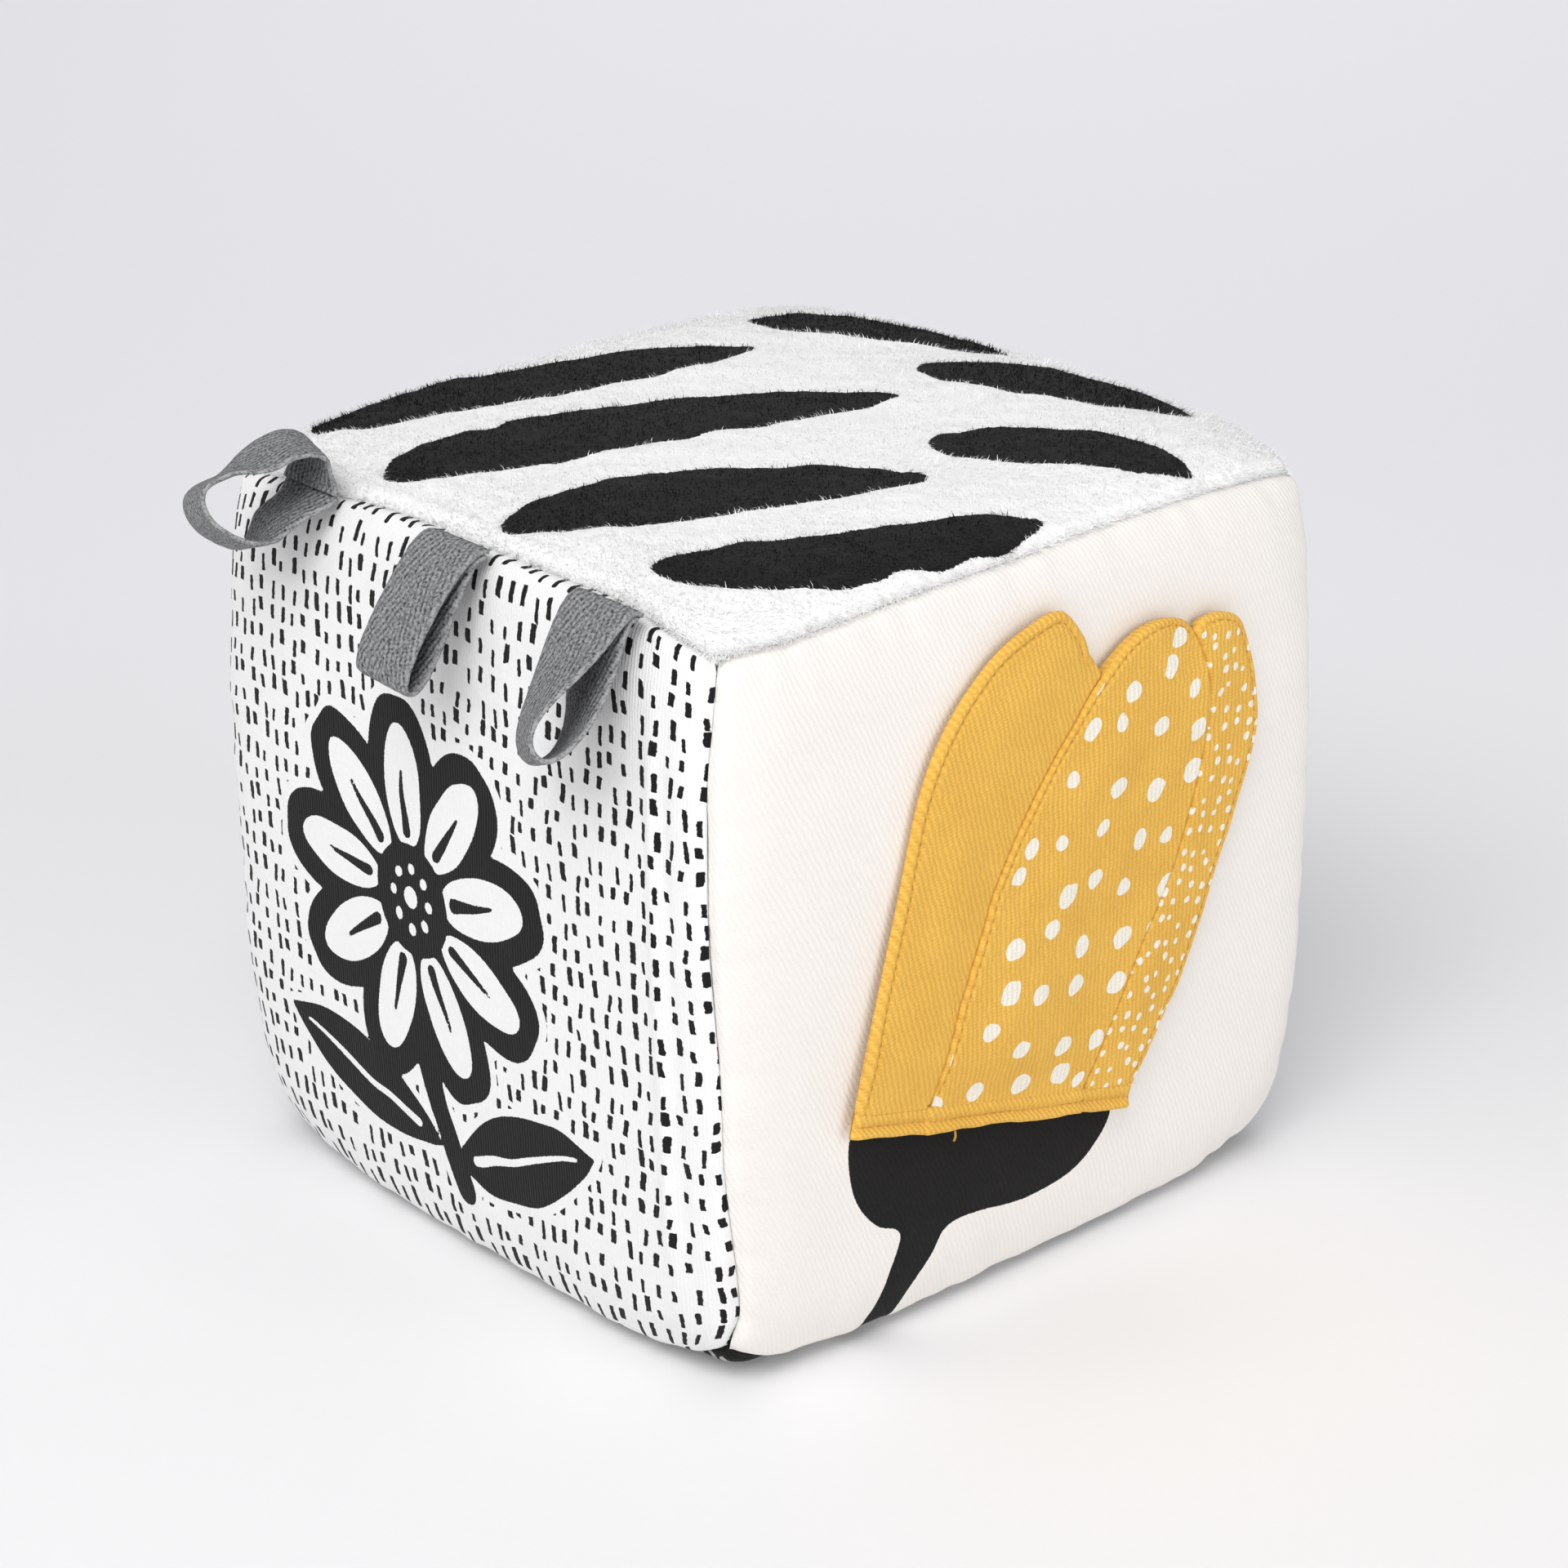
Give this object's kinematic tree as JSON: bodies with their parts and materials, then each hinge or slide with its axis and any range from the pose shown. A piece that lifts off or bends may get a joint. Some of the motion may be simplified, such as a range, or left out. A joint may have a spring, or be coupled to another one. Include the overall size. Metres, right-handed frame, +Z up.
{
  "type": "soft activity block",
  "caption": "Soft fabric activity block for a baby: crowned sewn sides over foam, tape loops on the top front seam, petal flaps hinged at a slanting hem, loose beads in a hidden rattle.",
  "frame": {"origin": "on the table, under the middle of the block, at the middle of the flat that it rests on", "axes": "+Z up; the printed front, with the loops along its top seam, faces -Y; the right side, with the flaps, faces +X"},
  "size_m": [0.154, 0.1845, 0.1533],
  "materials": {
    "white_plush": "short white pile with black print",
    "white_cotton": "matt woven cotton, printed in black",
    "dark_cotton": "matt woven cotton, black and grey print",
    "yellow_twill": "matt diagonal twill with topstitching",
    "grey_tape": "herringbone cotton tape",
    "foam": "open-cell polyurethane foam",
    "capsule": "smooth moulded plastic",
    "bead": "smooth moulded plastic",
    "crinkle_film": "thin crinkled polyester film"
  },
  "bodies": {
    "block": {"top_panel": "white_plush", "front_panel": "white_cotton", "right_panel": "white_cotton", "back_panel": "white_cotton", "left_panel": "white_cotton", "bottom_panel": "dark_cotton", "core_lower": "foam", "core_upper": "foam", "rattle_shell_lower": "capsule", "rattle_shell_upper": "capsule", "flap_hem": "yellow_twill"},
    "beads": {"bead_1": "bead", "bead_2": "bead", "bead_3": "bead", "bead_4": "bead", "bead_5": "bead", "bead_6": "bead"},
    "flap_left": {"flap_left_front": "yellow_twill", "flap_left_film": "crinkle_film", "flap_left_back": "yellow_twill"},
    "flap_middle": {"flap_middle_front": "yellow_twill", "flap_middle_film": "crinkle_film", "flap_middle_back": "yellow_twill"},
    "flap_right": {"flap_right_front": "yellow_twill", "flap_right_film": "crinkle_film", "flap_right_back": "yellow_twill"},
    "tape_left": {"loop_left": "grey_tape"},
    "tape_middle": {"loop_middle": "grey_tape"},
    "tape_right": {"loop_right": "grey_tape"}
  },
  "joints": [
    {"name": "bead_travel", "type": "slide", "parent": "block", "child": "beads", "axis": [0, 0, 1], "range_m": [0, 0.017]},
    {"name": "flap_left_fold", "type": "hinge", "parent": "block", "child": "flap_left", "pos_m": [0.0784, -0.0147, 0.0427], "axis": [0, 0.9681, -0.2504], "range_deg": [0, 105], "stiffness_Nm_per_rad": 0.0025},
    {"name": "flap_middle_fold", "type": "hinge", "parent": "block", "child": "flap_middle", "pos_m": [0.0784, -0.0147, 0.0427], "axis": [0, 0.9681, -0.2504], "range_deg": [0, 105], "stiffness_Nm_per_rad": 0.0025},
    {"name": "flap_right_fold", "type": "hinge", "parent": "block", "child": "flap_right", "pos_m": [0.0784, -0.0147, 0.0427], "axis": [0, 0.9681, -0.2504], "range_deg": [0, 105], "stiffness_Nm_per_rad": 0.0025},
    {"name": "loop_left_bend", "type": "hinge", "parent": "block", "child": "tape_left", "pos_m": [-0.038, -0.07436, 0.14296], "axis": [-1, 0, 0], "range_deg": [-55, 125], "stiffness_Nm_per_rad": 0.0014},
    {"name": "loop_middle_bend", "type": "hinge", "parent": "block", "child": "tape_middle", "pos_m": [0.006, -0.07477, 0.14337], "axis": [-1, 0, 0], "range_deg": [-15, 170], "stiffness_Nm_per_rad": 0.0014},
    {"name": "loop_right_bend", "type": "hinge", "parent": "block", "child": "tape_right", "pos_m": [0.0459, -0.07416, 0.14276], "axis": [-1, 0, 0], "range_deg": [-8, 165], "stiffness_Nm_per_rad": 0.0014}
  ]
}
